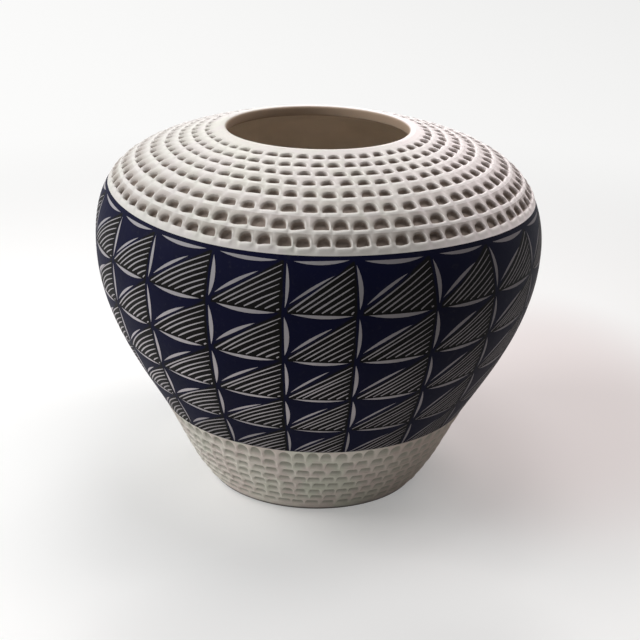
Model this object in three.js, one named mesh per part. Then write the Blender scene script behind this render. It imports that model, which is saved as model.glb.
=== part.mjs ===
// A hand-built pueblo pottery vase in millimetres, standing on z = 0 with +Z up.
// It goes up as the potter builds it: a base slab, coil upon coil to the rim, and a
// band of dark slip laid in a shallow bed round the belly.
import * as THREE from 'three';

// Outline of the outside: radius and height at the foot, waist, belly and rim
const footRadius = 55.3;
const waistRadius = 81.7;
const waistHeight = 45.3;
const bellyRadius = 115.4;
const bellyHeight = 132.5;
const rimRadius = 49.7;
const rimHeight = 190;

// How the outline leans outwards from upright at the foot and the waist, and how
// gently the shoulder climbs to the rim, in degrees
const footLean = 45;
const waistLean = 30;
const shoulderRise = 16;

// How far each end of a curve keeps its direction
const footPull = 16.5;
const belowWaistPull = 15;
const aboveWaistPull = 26;
const belowBellyPull = 36;
const aboveBellyPull = 42;
const rimPull = 40;

// Walls and floor
const wallThickness = 5.5;
const floorThickness = 7;
const footRounding = 1.2;
const lipRadius = 2.8;
const slabRise = 6.9;

// Coil joints lean, so that each coil laps the inside of the one below
const jointLap = 1.6;

// Slip band, from the waist to a little above the belly
const slipThickness = 0.6;
const slipAboveBelly = 26.4;
const bellyCoilCount = 5;

// Imprints in each corrugated coil, from the lowest coil up
const footImprints = [50, 53, 60, 56, 60, 58, 61, 68];
const shoulderImprints = [75, 67, 64, 62, 60, 56, 50, 47];

// The top foot coil is wider than the others, and so are those half way up the shoulder
const topFootCoilShare = 1.4;
const shoulderCoilSwell = 0.22;

// Smooth clay between the slip band and the first shoulder imprints
const shoulderMargin = 3.2;

// Shallow scales of the foot coils
const scaleDepth = 0.7;

// Deep imprints of the shoulder coils: their share of the pitch and of the coil's
// width, how much narrower the arched top is, and the ribs round them
const imprintDepth = 1.4;
const imprintWidthShare = 0.66;
const imprintHeightShare = 0.5;
const imprintArchShare = 0.5;
const lipStartShare = 0.2;
const undercut = 0.25;
const ribHeight = 0.5;

// Facets: sides of the joint rings, and steps round the rolled lip
const ringSides = 32;
const lipSteps = 6;

const clayWhite = new THREE.MeshStandardMaterial({ color: '#ece6dc', roughness: 0.78, metalness: 0 });
const clayFoot = new THREE.MeshStandardMaterial({ color: '#cfc8ba', roughness: 0.85, metalness: 0 });
const clayBare = new THREE.MeshStandardMaterial({ color: '#8f7a63', roughness: 0.9, metalness: 0 });
const slipDark = new THREE.MeshStandardMaterial({ color: '#1b1d2c', roughness: 0.5, metalness: 0 });

const turn = 2 * Math.PI;
const radians = THREE.MathUtils.degToRad;

// The outline as three curves in the plane of radius and height
function makeOutline() {
	const lean = (angle, pull) => new THREE.Vector2(Math.sin(angle), Math.cos(angle)).multiplyScalar(pull);
	const foot = new THREE.Vector2(footRadius, 0);
	const waist = new THREE.Vector2(waistRadius, waistHeight);
	const belly = new THREE.Vector2(bellyRadius, bellyHeight);
	const rim = new THREE.Vector2(rimRadius, rimHeight);
	const outwards = radians(footLean);
	const upwards = radians(waistLean);
	const inwards = radians(shoulderRise - 90);
	return [
		new THREE.CubicBezierCurve(
			foot,
			foot.clone().add(lean(outwards, footPull)),
			waist.clone().sub(lean(upwards, belowWaistPull)),
			waist,
		),
		new THREE.CubicBezierCurve(
			waist,
			waist.clone().add(lean(upwards, aboveWaistPull)),
			belly.clone().sub(lean(0, belowBellyPull)),
			belly,
		),
		new THREE.CubicBezierCurve(
			belly,
			belly.clone().add(lean(0, aboveBellyPull)),
			rim.clone().sub(lean(inwards, rimPull)),
			rim,
		),
	];
}

const curves = makeOutline();
const lengths = curves.map((curve) => curve.getLength());
const waistArc = lengths[0];
const bellyArc = waistArc + lengths[1];
const rimArc = bellyArc + lengths[2];

// Point of the outline and its outward normal, an arc length up from the floor
function outlineAt(arc) {
	let index = 0;
	let rest = arc;
	while (index < curves.length - 1 && rest > lengths[index]) {
		rest -= lengths[index];
		index += 1;
	}
	const along = Math.min(Math.max(rest / lengths[index], 0), 1);
	const tangent = curves[index].getTangentAt(along);
	return { point: curves[index].getPointAt(along), normal: new THREE.Vector2(tangent.y, -tangent.x) };
}

// A point at a height above (+) or a depth below (-) the outer face
function facePoint(arc, proud) {
	const { point, normal } = outlineAt(arc);
	return point.addScaledVector(normal, proud);
}

// A point on a joint face: straight in from the outline, and lapping downwards
function jointPoint(arc, depth) {
	const { point, normal } = outlineAt(arc);
	const down = new THREE.Vector2(normal.y, -normal.x).multiplyScalar(jointLap / wallThickness);
	return point.addScaledVector(normal.negate().add(down), depth);
}

// A ring of vertices: `sides` copies of a point of the outline plane, from `phase` on
function ring(point, sides = ringSides, phase = 0) {
	const vertices = [];
	for (let i = 0; i < sides; i += 1) {
		vertices.push({ angle: turn * ((i + phase) / sides), point });
	}
	return vertices;
}

// One closed body from a loop of rings. Neighbouring rings may differ in their
// number of vertices: each strip takes the nearer next vertex, by angle, in turn.
class RingBody {
	constructor() {
		this.positions = [];
		this.indices = [];
	}

	add(vertices) {
		const first = this.positions.length / 3;
		for (const { angle, point } of vertices) {
			this.positions.push(point.x * Math.cos(angle), point.x * Math.sin(angle), point.y);
		}
		return { first, angles: vertices.map((vertex) => vertex.angle) };
	}

	triangle(a, b, c) {
		this.indices.push(a, b, c);
	}

	// Strip between two rings, its faces pointing right when going from `lower` to `upper`
	strip(lower, upper) {
		const angleAt = (set, i) => set.angles[i % set.angles.length] + turn * Math.floor(i / set.angles.length);
		const at = (set, i) => set.first + (i % set.angles.length);
		let i = 0;
		let j = 0;
		while (i < lower.angles.length || j < upper.angles.length) {
			const lowerNext = i < lower.angles.length ? angleAt(lower, i + 1) : Infinity;
			const upperNext = j < upper.angles.length ? angleAt(upper, j + 1) : Infinity;
			if (lowerNext <= upperNext) {
				this.triangle(at(lower, i), at(lower, i + 1), at(upper, j));
				i += 1;
			} else {
				this.triangle(at(lower, i), at(upper, j + 1), at(upper, j));
				j += 1;
			}
		}
	}

	// A flat face that fills a ring, pointing up or down
	cap(rim, middle, facingUp) {
		const centre = this.add([{ angle: 0, point: new THREE.Vector2(0, middle) }]).first;
		const count = rim.angles.length;
		for (let i = 0; i < count; i += 1) {
			const here = rim.first + i;
			const next = rim.first + ((i + 1) % count);
			if (facingUp) {
				this.triangle(centre, here, next);
			} else {
				this.triangle(centre, next, here);
			}
		}
	}

	mesh(name, material) {
		const geometry = new THREE.BufferGeometry();
		geometry.setAttribute('position', new THREE.Float32BufferAttribute(this.positions, 3));
		geometry.setIndex(this.indices);
		geometry.computeVertexNormals();
		const mesh = new THREE.Mesh(geometry, material);
		mesh.name = name;
		return mesh;
	}
}

// A closed ring whose section is a list of points, given anticlockwise with the axis to the left
function turnedRing(name, material, section) {
	const body = new RingBody();
	const rings = section.map((point) => body.add(ring(point)));
	rings.forEach((lower, i) => body.strip(lower, rings[(i + 1) % rings.length]));
	return body.mesh(name, material);
}

// The four joint corners that every coil shares with its neighbours
function coilCorners(from, to, outerDepth = 0) {
	return {
		bottomInner: jointPoint(from, wallThickness),
		bottomOuter: jointPoint(from, outerDepth),
		topOuter: jointPoint(to, outerDepth),
		topInner: jointPoint(to, wallThickness),
	};
}

// Base slab: flat underside, rounded lower edge, and a floor inside
function makeBaseSlab() {
	const body = new RingBody();
	const top = coilCorners(0, slabRise);
	const underside = body.add(ring(new THREE.Vector2(footRadius - footRounding, 0)));
	const edge = body.add(ring(facePoint(footRounding, 0)));
	const outer = body.add(ring(top.topOuter));
	const inner = body.add(ring(top.topInner));
	const floorEdge = body.add(ring(new THREE.Vector2(top.topInner.x - wallThickness, floorThickness)));
	body.cap(underside, 0, false);
	body.strip(underside, edge);
	body.strip(edge, outer);
	body.strip(outer, inner);
	body.strip(inner, floorEdge);
	body.cap(floorEdge, floorThickness, true);
	return body.mesh('base_slab', clayBare);
}

// Foot coil: one row of shallow scales, hollow in the middle and raised between
function makeFootCoil(name, from, to, count, phase) {
	const body = new RingBody();
	const corners = coilCorners(from, to);
	const middle = (from + to) / 2;
	const hollow = facePoint(middle, -scaleDepth);
	const raised = facePoint(middle, 0);
	const scales = ring(raised, 2 * count, 2 * phase);
	scales.forEach((vertex, i) => {
		vertex.point = i % 2 ? hollow : raised;
	});
	const bottomInner = body.add(ring(corners.bottomInner));
	const bottomOuter = body.add(ring(corners.bottomOuter));
	const row = body.add(scales);
	const topOuter = body.add(ring(corners.topOuter));
	const topInner = body.add(ring(corners.topInner));
	body.strip(bottomInner, bottomOuter);
	body.strip(bottomOuter, row);
	body.strip(row, topOuter);
	body.strip(topOuter, topInner);
	body.strip(topInner, bottomInner);
	return body.mesh(name, clayFoot);
}

// Shoulder coil: one row of D-shaped imprints, each pressed deepest at its flat lower
// edge and running out to its arched top, with ribs between them
function makeShoulderCoil(name, from, to, imprintsFrom, count, phase) {
	const body = new RingBody();
	const corners = coilCorners(from, to);
	const width = to - imprintsFrom;
	const flatArc = imprintsFrom + width * lipStartShare;
	const archArc = flatArc + width * imprintHeightShare;
	const lip = facePoint(flatArc, ribHeight);
	const pressed = facePoint(flatArc + undercut, -imprintDepth);
	const arch = facePoint(archArc, ribHeight);
	const pitch = turn / count;
	const half = (pitch * imprintWidthShare) / 2;
	const archHalf = half * imprintArchShare;
	const flatEdge = [];
	const pressedEdge = [];
	const archEdge = [];
	for (let i = 0; i < count; i += 1) {
		const centre = pitch * (i + phase);
		flatEdge.push({ angle: centre - half, point: lip }, { angle: centre + half, point: lip });
		pressedEdge.push({ angle: centre - half, point: pressed }, { angle: centre + half, point: pressed });
		archEdge.push({ angle: centre - archHalf, point: arch }, { angle: centre + archHalf, point: arch });
	}
	const bottomInner = body.add(ring(corners.bottomInner));
	const bottomOuter = body.add(ring(corners.bottomOuter));
	const flatRow = body.add(flatEdge);
	const pressedRow = body.add(pressedEdge);
	const archRow = body.add(archEdge);
	const topOuter = body.add(ring(corners.topOuter));
	const topInner = body.add(ring(corners.topInner));
	body.strip(bottomInner, bottomOuter);
	body.strip(bottomOuter, flatRow);
	for (let i = 0; i < count; i += 1) {
		const left = 2 * i;
		const right = left + 1;
		const next = (left + 2) % (2 * count);
		const [fl, fr, fn] = [flatRow.first + left, flatRow.first + right, flatRow.first + next];
		const [pl, pr] = [pressedRow.first + left, pressedRow.first + right];
		const [al, ar, an] = [archRow.first + left, archRow.first + right, archRow.first + next];
		body.triangle(fl, fr, pr);
		body.triangle(fl, pr, pl);
		body.triangle(pl, pr, ar);
		body.triangle(pl, ar, al);
		body.triangle(fl, pl, al);
		body.triangle(fr, ar, pr);
		body.triangle(fr, fn, an);
		body.triangle(fr, an, ar);
	}
	body.strip(archRow, topOuter);
	body.strip(topOuter, topInner);
	body.strip(topInner, bottomInner);
	return body.mesh(name, clayWhite);
}

// Belly coil: smooth, and let in by the thickness of the slip
function makeBellyCoil(name, from, to) {
	const corners = coilCorners(from, to, slipThickness);
	const middle = facePoint((from + to) / 2, -slipThickness);
	const section = [corners.bottomInner, corners.bottomOuter, middle, corners.topOuter, corners.topInner];
	return turnedRing(name, clayBare, section);
}

// Slip band: a skin from the waist to the shoulder, seated on every belly coil
function makeSlipBand(joints) {
	const outer = [];
	const inner = [];
	joints.forEach((arc, i) => {
		if (i > 0) {
			const middle = (joints[i - 1] + arc) / 2;
			outer.push(facePoint(middle, 0));
			inner.push(facePoint(middle, -slipThickness));
		}
		outer.push(jointPoint(arc, 0));
		inner.push(jointPoint(arc, slipThickness));
	});
	return turnedRing('slip_band', slipDark, [...outer, ...inner.reverse()]);
}

// Rim coil: from its joint over the rolled lip and back under to the joint
function makeRimCoil(from) {
	const centre = new THREE.Vector2(rimRadius, rimHeight - lipRadius);
	const section = [jointPoint(from, wallThickness), jointPoint(from, 0)];
	for (let i = 0; i <= lipSteps; i += 1) {
		const angle = Math.PI * (0.5 + i / lipSteps);
		section.push(new THREE.Vector2(Math.cos(angle), Math.sin(angle)).multiplyScalar(lipRadius).add(centre));
	}
	return turnedRing('rim_coil', clayWhite, section);
}

// Joints between coils from one arc length to another, in proportion to their shares
function spaced(from, to, shares) {
	const total = shares.reduce((sum, share) => sum + share, 0);
	const joints = [from];
	let sum = 0;
	for (const share of shares) {
		sum += share;
		joints.push(from + ((to - from) * sum) / total);
	}
	return joints;
}

const slipTopArc = bellyArc + slipAboveBelly;
const rimJointArc = rimArc - lipRadius;
const footShares = footImprints.map((count, i) => (i < footImprints.length - 1 ? 1 : topFootCoilShare));
const bellyShares = new Array(bellyCoilCount).fill(1);
const shoulderShares = shoulderImprints.map(
	(count, i) => 1 + shoulderCoilSwell * Math.sin((Math.PI * (i + 0.5)) / shoulderImprints.length),
);
const footJoints = spaced(slabRise, waistArc, footShares);
const bellyJoints = spaced(waistArc, slipTopArc, bellyShares);
const shoulderJoints = spaced(slipTopArc + shoulderMargin, rimJointArc, shoulderShares);

const vase = new THREE.Group();
vase.add(makeBaseSlab());

const footCoils = new THREE.Group();
footImprints.forEach((count, i) => {
	footCoils.add(makeFootCoil(`foot_coil_${i + 1}`, footJoints[i], footJoints[i + 1], count, (i % 2) / 2));
});
vase.add(footCoils);

const bellyCoils = new THREE.Group();
for (let i = 0; i < bellyCoilCount; i += 1) {
	bellyCoils.add(makeBellyCoil(`belly_coil_${i + 1}`, bellyJoints[i], bellyJoints[i + 1]));
}
vase.add(bellyCoils);
vase.add(makeSlipBand(bellyJoints));

const shoulderCoils = new THREE.Group();
shoulderImprints.forEach((count, i) => {
	const from = i === 0 ? slipTopArc : shoulderJoints[i];
	const to = shoulderJoints[i + 1];
	shoulderCoils.add(
		makeShoulderCoil(`shoulder_coil_${i + 1}`, from, to, shoulderJoints[i], count, (i % 2) / 2),
	);
});
vase.add(shoulderCoils);
vase.add(makeRimCoil(rimJointArc));

export default vase;
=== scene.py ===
"""A coil-built pueblo vase: an imprinted white shoulder and foot, and a cut band of dark slip."""
import math

import bpy
import numpy as np
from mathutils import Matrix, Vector
from bpy.props import FloatProperty, FloatVectorProperty, IntProperty, PointerProperty


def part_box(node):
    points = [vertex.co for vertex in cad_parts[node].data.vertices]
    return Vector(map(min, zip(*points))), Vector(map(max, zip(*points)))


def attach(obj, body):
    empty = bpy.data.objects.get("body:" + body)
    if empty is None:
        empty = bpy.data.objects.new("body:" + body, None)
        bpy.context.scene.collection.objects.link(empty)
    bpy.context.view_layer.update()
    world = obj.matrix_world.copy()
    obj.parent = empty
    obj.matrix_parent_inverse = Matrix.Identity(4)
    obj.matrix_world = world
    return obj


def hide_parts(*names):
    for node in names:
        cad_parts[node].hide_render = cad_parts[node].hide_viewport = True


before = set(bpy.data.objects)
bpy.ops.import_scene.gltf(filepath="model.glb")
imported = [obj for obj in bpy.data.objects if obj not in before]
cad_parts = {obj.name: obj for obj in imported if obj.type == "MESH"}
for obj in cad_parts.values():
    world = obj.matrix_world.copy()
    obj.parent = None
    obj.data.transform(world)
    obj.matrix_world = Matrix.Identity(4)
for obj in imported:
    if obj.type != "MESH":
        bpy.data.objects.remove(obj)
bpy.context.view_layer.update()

bl_info = {
    "name": "Pueblo Vase",
    "version": (1, 0, 0),
    "blender": (4, 5, 0),
    "location": "View3D > Sidebar > Vase",
    "description": "A coil-built pueblo vase with an imprinted shoulder and a cut band of dark slip",
    "category": "Add Mesh",
}

MM = 0.001
TURN = 2 * math.pi
BODY = "root"

# What the frame gives: the belly's radius and the rim's height in millimetres, and the
# coils' names from the foot up
BELLY_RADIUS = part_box("slip_band")[1].x / MM
RIM_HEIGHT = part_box("rim_coil")[1].z / MM
COILS = {kind: sorted(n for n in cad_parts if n.startswith(kind + "_coil_"))
         for kind in ("foot", "belly", "shoulder")}


def length(description, value):
    """A distance property with its default in millimetres."""
    return FloatProperty(description=description, default=value * MM, unit="LENGTH", precision=5)


def angle(description, value):
    """An angle property with its default in degrees."""
    return FloatProperty(description=description, default=math.radians(value), unit="ROTATION")


def share(description, value):
    """A share or factor property."""
    return FloatProperty(description=description, default=value, subtype="FACTOR")


def power(description, value):
    """A lamp's power."""
    return FloatProperty(description=description, default=value, unit="POWER")


def colour(description, *rgb):
    """A scene-linear colour property."""
    return FloatVectorProperty(description=description, default=rgb, size=3, subtype="COLOR", min=0, max=1)


def named(group):
    """Gives each property of a group its name: its key in words."""
    for key, held in group.__annotations__.items():
        held.keywords.update(name=key.replace("_", " ").capitalize())
    return group


@named
class VaseForm(bpy.types.PropertyGroup):
    """Outline and walls of the vase."""
    foot_radius: length("Radius of the outline at the floor", 55.3)
    waist_radius: length("Radius where the slip band starts", 81.7)
    waist_height: length("Height where the slip band starts", 45.3)
    belly_radius: length("Largest radius", BELLY_RADIUS)
    belly_height: length("Height of the largest radius", 132.5)
    rim_radius: length("Radius of the rim's crest", 49.7)
    rim_height: length("Height of the rim's crest", RIM_HEIGHT)
    foot_lean: angle("Lean of the wall at the floor, from upright", 45)
    waist_lean: angle("Lean of the wall at the waist, from upright", 30)
    shoulder_rise: angle("Slope of the shoulder at the rim", 16)
    foot_pull: length("Curve handle at the foot", 16.5)
    below_waist: length("Curve handle below the waist", 15)
    above_waist: length("Curve handle above the waist", 26)
    below_belly: length("Curve handle below the belly", 36)
    above_belly: length("Curve handle above the belly", 42)
    rim_pull: length("Curve handle at the rim", 40)
    wall: length("Thickness of the wall", 5.5)
    floor: length("Height of the floor inside", 7)
    lip_radius: length("Radius of the rolled lip", 2.8)
    slab_rise: length("Length of wall that belongs to the base slab", 6.9)
    foot_edge: length("Rounding under the foot", 1.6)
    joint_lap: length("Lap of a coil inside the one below", 1.6)
    wobble: length("Unevenness of the hand-built wall", 0.15)
    lean_left: length("How far the mouth stands to the left of the foot", 1.95)
    low_back: length("How much lower the back of the shoulder lies", 1.3)
    lip_inset: length("How far the lip stands inside the rim's crest", 0.3)


@named
class VaseImprints(bpy.types.PropertyGroup):
    """Imprints pressed into the shoulder coils and scales pressed into the foot coils."""
    margin: length("Smooth clay between the slip band and the first imprints", 2.2)
    depth: length("Depth of a shoulder imprint at its flat edge", 2.8)
    width: share("Share of the pitch that an imprint takes", 0.77)
    start: share("Where the flat edge lies across the coil", 0.24)
    lip: length("Height of the roll pushed up below an imprint", 0.56)
    bead: length("Height of a coil's bead over its grooves", 0.16)
    groove: length("Depth of the groove between coils", 0.05)
    scale_depth: length("Depth of a foot scale", 0.95)
    scale_width: share("Share of the pitch that a scale takes", 0.97)
    scale_start: share("Where a scale's lower edge lies across the coil", 0.06)
    scale_rim: length("Height of the rim round a scale", 0.22)


@named
class VaseBand(bpy.types.PropertyGroup):
    """The slip band and the marks cut through it."""
    thickness: length("Thickness of the slip", 0.6)
    above_belly: length("How far the band reaches above the belly line", 26.4)
    border: length("Dark strip above the first row of marks", 2.4)
    top_row: length("Height of the first row of cells along the wall", 25)
    row: length("Height of the other rows of cells along the wall", 23.7)
    rows: IntProperty(description="Rows of cells", default=5)
    hatches: IntProperty(description="Hatch lines in a cell", default=8)
    leaf: share("Greatest width of an upright leaf, as a share of its cell", 0.053)
    top_leaf: share("Greatest width of a level leaf, as a share of its cell", 0.049)
    slant_leaf: share("Greatest width of a slanting leaf, as a share of its cell", 0.043)
    hatch_start: length("Width of a hatch line where the tool goes in", 0.78)
    hatch_end: length("Width of a hatch line where the tool comes out", 0.5)
    sunk: length("How far the slip lies below the outline", 0.06)
    mark_sunk: length("How far the cut marks lie below the outline", 0.02)
    mark_depth: length("Depth of the solid that shows in a mark", 0.16)


@named
class VaseColours(bpy.types.PropertyGroup):
    """Colours of the clays, the slip and the stage."""
    white_clay: colour("Shoulder and rim", 0.67, 0.645, 0.605)
    # Painted shade: the shade that falls in the shoulder imprints, laid on as this colour
    recess: colour("Stain in the bottom of the shoulder imprints", 0.22, 0.175, 0.145)
    # The foot is the same white clay as the shoulder; this colour is set lighter as painted light, making up
    # for the shade under the belly
    foot_clay: colour("Foot coils", 0.81, 0.765, 0.69)
    # Painted shade in the hollows of the foot scales
    scale_shade: colour("Hollows of the foot scales", 0.33, 0.325, 0.27)
    inside: colour("Bare clay inside", 0.84, 0.745, 0.64)
    navy: colour("Blue slip", 0.0030, 0.0037, 0.020)
    black: colour("Black slip under the hatching", 0.0036, 0.0034, 0.0032)
    mark: colour("Clay that shows in the cut marks", 0.36, 0.345, 0.365)
    mark_low: colour("Clay that shows in the marks lower down", 0.58, 0.54, 0.57)
    floor: colour("Floor of the stage", 0.985, 0.983, 0.976)


@named
class VaseStage(bpy.types.PropertyGroup):
    """Camera and lights."""
    distance: length("Camera's distance in front of the axis", 770.8)
    height: length("Camera's height", 382.7)
    pitch: angle("How far the camera looks down", 21.2)
    roll: angle("How far the camera leans", 1.48)
    focal: FloatProperty(description="Lens in millimetres", default=87.33)
    shift: share("Sideways shift of the lens", 0.0052)
    window: power("Power of the light at the left", 2.9)
    high_window: power("Power of the higher light at the left", 2.5)
    overhead: power("Power of the light above", 2.5)
    right: power("Power of the light at the right", 2.75)
    low_front: power("Power of the low light in front", 0.95)
    back: power("Power of the light behind", 2.3)
    sky: FloatProperty(description="Strength of the light from all round", default=0.06)


# Imprints in each coil and how many there would be at the pitch of those in front, the
# coil's share of the width, where one imprint lies in degrees to the right of the front, and
# an imprint's height as a share of its coil's width: from the foot up, and from the band up
FOOT_ROWS = [(50, 50, 5.3, 0.0, 0.86), (53, 53, 5.3, 2.0, 0.86), (60, 60, 5.3, 1.0, 0.86),
             (56, 56, 5.2, 3.0, 0.86), (60, 60, 5.1, 0.5, 0.86), (58, 58, 5.3, 2.5, 0.86),
             (61, 61, 6.2, 1.5, 0.88), (68, 68, 8.0, 0.0, 0.82)]
SHOULDER_ROWS = [(75, 74.5, 7.6, 1.75, 0.66), (67, 67.5, 9.1, 1.35, 0.60), (64, 63, 9.5, -1.5, 0.55),
                 (62, 61, 9.0, -1.8, 0.53), (60, 57, 7.8, -2.25, 0.55), (56, 54.5, 7.4, 1.9, 0.55),
                 (50, 51, 7.5, 0.5, 0.56), (47, 46.5, 7.1, 1.1, 0.58)]

# How they are pressed: the foot's scales, then the shoulder's imprints
LENGTHS_PRESSED = {           # in millimetres
    "wall": (0.3, 0.35),      # run of the steep wall at the flat edge
    "corner": (0.0, 0.25),    # how far the ends of the flat edge turn up
    "lip_drop": (0.2, 1.2),   # from the flat edge down to the lip's crest
    "lip_width": (0.5, 1.5),  # from the crest down to where the lip is at 1/e
    "slide": (0.16, 0.2),     # unevenness up the wall
}
SHARES_PRESSED = {
    "floor": (0.76, 0.77),    # of the way from the middle to the arch, where the hollow is full
    "square": (2.3, 2.8),     # power of the arch across: more is squarer
    "skew": (0.0, 0.09),      # softness of the left side
    "fade": (0.8, 0.2),       # how far the hollow runs out towards the flat edge
    "curl": (0.0, 0.6),       # the lip up the right side, of the lip below
    "shade_halo": (0.0, 0.37),      # painted shade over the arch
    "crest": (0.5, 0.3),      # where a coil's bead is highest, across the coil
    "stray": (0.05, 0.03),    # unevenness of the pitch
    "vary": (0.05, 0.05),     # unevenness of width and height, and half that of depth
    "lean": (0.0, 0.08),      # tilt of the flat edge
    "tilt": (0.04, 0.05),     # unevenness of the tilt
    "low_left": (0.0, 0.25),  # how much lower the imprints are at the left
    "drop_left": (0.0, 1.0),  # how far they are drawn out there to a lying drop
}
ROW_FADE = 0.08
DROP_SKEW, DROP_POWER, DROP_LIP = 0.13, 1.4, 0.6
RISE_POWER, WHOLE_POWER = 2.2, 2.5

# Upright lines of the pattern that show in front, in degrees to the right of the front
FRONT_COLUMNS = [-60.1, -44.3, -25.8, -7.3, 9.8, 29.3, 47.7, 66.5]
COLUMNS = 20

# How far the upright lines fan out, in degrees, at arc lengths in millimetres
FAN = [(51.6, 7.0), (73, 5.0), (98, 1.7), (122, 0), (147, 0), (171.4, -2.5)]

# Where the potter's level lines stray, in millimetres up the wall: everywhere, towards the
# left, at both sides, and at the far left. First the band's upper edge, then the lines of
# the pattern.
EDGE_STRAY = (-0.9, -0.3, 1.1, 4.2)
ROW_STRAY = [EDGE_STRAY, (-1.0, 2.4, 1.4, 0.0), (-2.5, 1.3, 3.1, 0.0), (-3.2, 0.2, 3.0, 0.0),
             (-3.6, 2.2, 2.6, 0.0), (-3.6, 2.0, 2.4, 0.0)]

# Leaves of a cell: the start across and down it, the end across and down it, each as a share
# with its unevenness, and the unevenness of the width
LEAVES = {
    "upright_leaves": ((0.0, 0.006), (0.07, 0.012), (0.0, 0.006), (0.89, 0.012), 0.12),
    "level_leaves": ((0.88, 0.012), (0.0, 0.008), (0.11, 0.012), (0.0, 0.008), 0.1),
    "slanting_leaves": ((0.08, 0.01), (0.80, 0.01), (0.64, 0.015), (0.25, 0.015), 0.1),
}

# The clays: two clouded tints, the painted side light towards the right and the back (lighter on
# the white clay, darker on the foot) with its strength and bounds, the painted highlight on the
# lips, the painted shade's full depth and strength in the hollows, and the speckle
CLAYS = {
    "white_clay": {"face": "white_clay", "hollow": "recess",
                   "clouds": [(0.655, 0.645, 0.585), (0.665, 0.62, 0.605)],
                   "side_light_tint": (1.0, 0.91, 0.91), "side_light_strength": 0.95, "reach": (-0.02, 0.06),
                   "worn": 0.45, "full": 0.6, "hollow_shade": 0.97, "speck": 0.16},
    "beige_clay": {"face": "foot_clay", "hollow": "scale_shade",
                   "clouds": [(0.69, 0.71, 0.60), (0.74, 0.645, 0.60)],
                   "side_light_tint": (0.45, 0.36, 0.32), "side_light_strength": 0.8, "reach": (-0.03, 0.03),
                   "worn": 0.0, "full": 0.8, "hollow_shade": 0.9, "speck": 0.25},
}
# Painted shade at the left, painted highlight high at the back, painted highlight on the lips
LEFT_SHADE, BACK_HIGHLIGHT, LIP_HIGHLIGHT = (0.48, 0.47, 0.45), (1.0, 0.97, 0.96), (0.97, 0.94, 0.9)
# Painted contact shadow along the slab's lower edge, and painted shade inside just below the mouth
CONTACT_SHADOW, MOUTH_SHADE = (0.055, 0.042, 0.034), (0.34, 0.25, 0.18)

# Lamps: size, tint and place. They all face the middle of the vase.
WHITE, ROSY = (1.0, 1.0, 1.0), (1.0, 0.94, 0.93)
LAMPS = {
    "window": (0.4, WHITE, (-0.75, -0.15, 0.45)),
    "high_window": (0.3, WHITE, (-0.65, 0.0, 0.70)),
    "overhead": (0.4, WHITE, (0.02, 0.02, 1.05)),
    "right": (0.4, ROSY, (0.45, 0.10, 0.90)),
    "low_front": (0.4, WHITE, (-0.45, -0.75, 0.12)),
    "back": (0.4, WHITE, (0.0, 0.60, 0.75)),
}
AIM = Vector((0, 0, 0.1))

# The stage: half the floor's side, the light grey that its bounced light has, the colours of
# the sky's light and of the backdrop, and painted soft shadows on the floor as middle, reach and colour
FLOOR_REACH = 3.0
BOUNCE = (0.62, 0.61, 0.59)
SKY_LIGHT, BACKDROP = (1.0, 0.995, 0.985, 1.0), (0.93, 0.93, 0.925, 1.0)
FLOOR_SHADES = [(0.14, 0.09, 0.12, 0.21, (0.82, 0.755, 0.745)),
                (0.01, -0.19, 0.13, 0.10, (0.84, 0.84, 0.835))]

# Steps of the surface grids
CELL_STEPS = 24
SCALE_STEPS = 12
COLUMN_STEPS = 24
SKIN_STEPS = 80
BED_STEPS = 20
SMOOTH_STEPS = 360
INNER_STEPS = 5
MARK_STEPS = 9


def settings():
    """The five property groups of the scene."""
    return [getattr(bpy.context.scene, name) for name in GROUPS]


def smooth(value, low, high):
    """0 at low and 1 at high, easing at both: 3t^2 - 2t^3 of the clamped share t."""
    t = np.clip((value - low) / (high - low), 0, 1)
    return t * t * (3 - 2 * t)


def bezier(points, t):
    """Cubic curve: the four points weighted by (1-t)^3, 3(1-t)^2 t, 3(1-t)t^2 and t^3."""
    a, b, c, d = (np.array(p, float) for p in points)
    t = t[:, None]
    return (1 - t) ** 3 * a + 3 * (1 - t) ** 2 * t * b + 3 * (1 - t) * t ** 2 * c + t ** 3 * d


def stray(turn, amounts):
    """How far a level line strays up the wall at a turn.

    c - a sin(turn) + b (1 - cos(2 turn)) - d sin(turn)^3.
    """
    everywhere, left, sides, far_left = (MM * a for a in amounts)
    return (everywhere - left * np.sin(turn) + sides * (1 - np.cos(2 * turn))
            - far_left * np.sin(turn) ** 3)


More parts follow.
